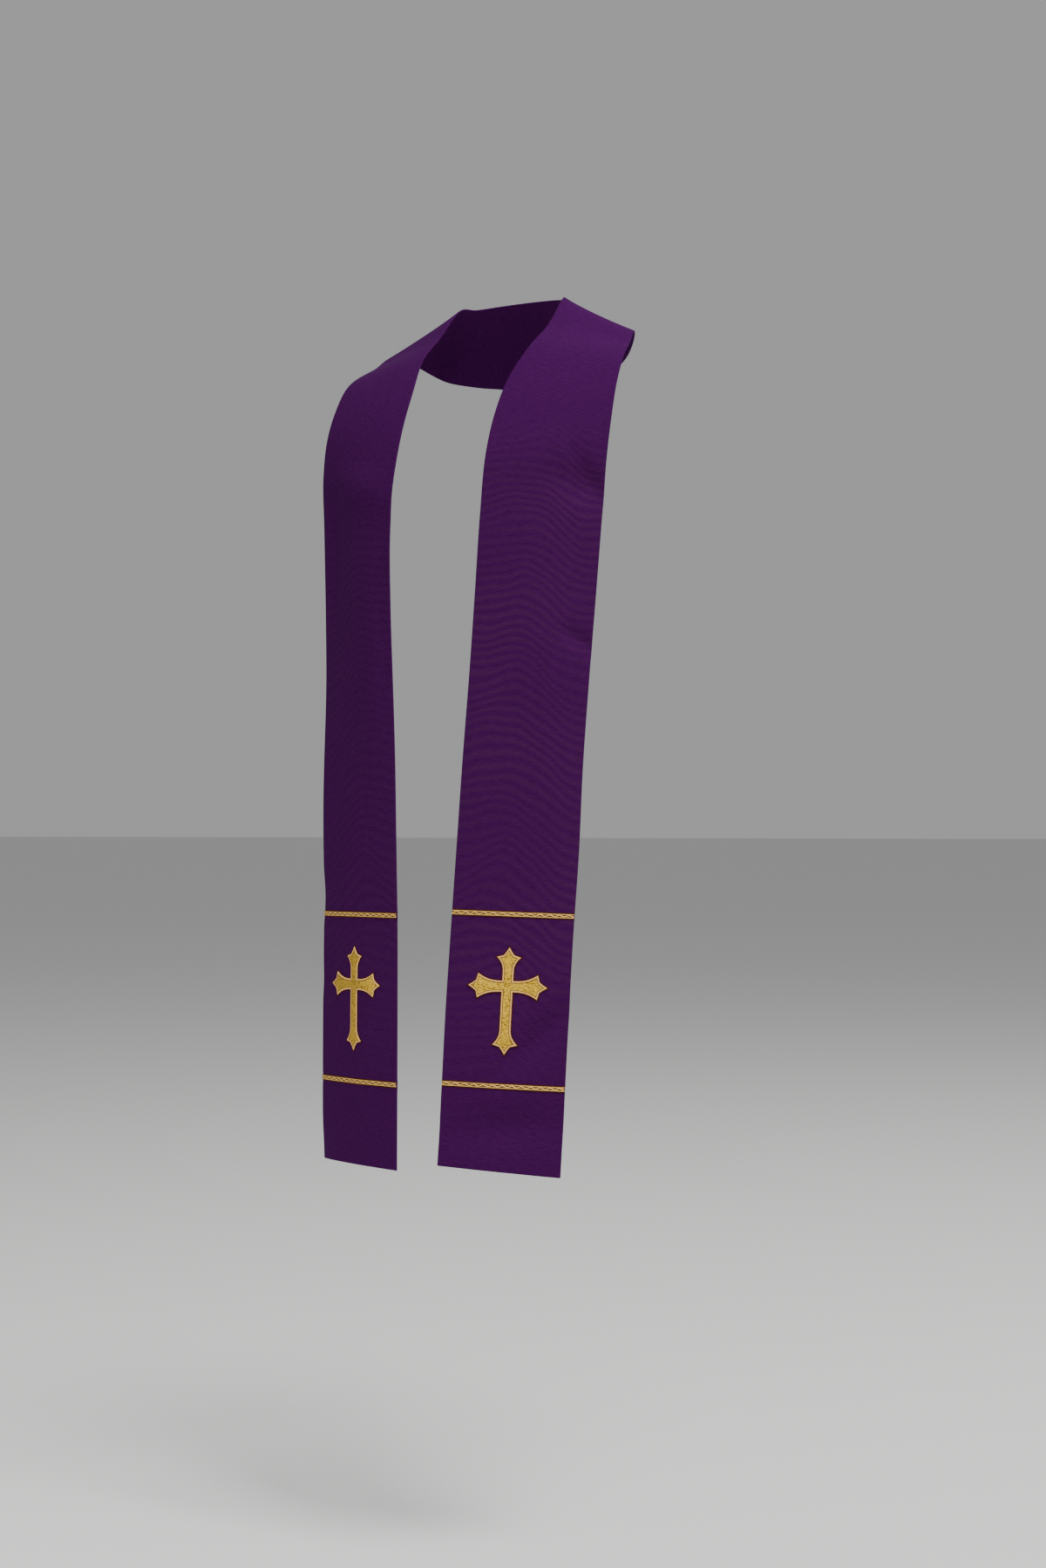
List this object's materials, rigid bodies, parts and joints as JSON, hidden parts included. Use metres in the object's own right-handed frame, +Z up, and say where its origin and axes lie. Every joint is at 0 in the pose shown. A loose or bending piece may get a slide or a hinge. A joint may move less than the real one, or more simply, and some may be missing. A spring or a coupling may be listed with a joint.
{
  "type": "clerical stole",
  "caption": "Long cloth vestment band worn round the neck: a back yoke and two front panels that hang to below the knee, each with gold braids and a flared gold cross.",
  "frame": {"origin": "the nape: the underside of the yoke at the middle of its neck edge, where the wearer's neck holds it", "axes": "+Z up, -Y the way the wearer faces, +X the wearer's left"},
  "size_m": [0.4208, 0.3242, 1.1027],
  "materials": {
    "stole_cloth": "plain-woven violet polyester with a fine cross rib, soft low sheen, turned and pressed edges",
    "gold_braid": "narrow woven gold braid with a raised zigzag between two pale edges",
    "gold_embroidery": "gold thread embroidery: stippled filling inside a raised pale satin border"
  },
  "bodies": {
    "root": {"back_yoke": "stole_cloth", "front_left": "stole_cloth", "front_right": "stole_cloth", "braid_upper_left": "gold_braid", "braid_lower_left": "gold_braid", "braid_upper_right": "gold_braid", "braid_lower_right": "gold_braid", "cross_left": "gold_embroidery", "cross_right": "gold_embroidery"}
  },
  "joints": []
}
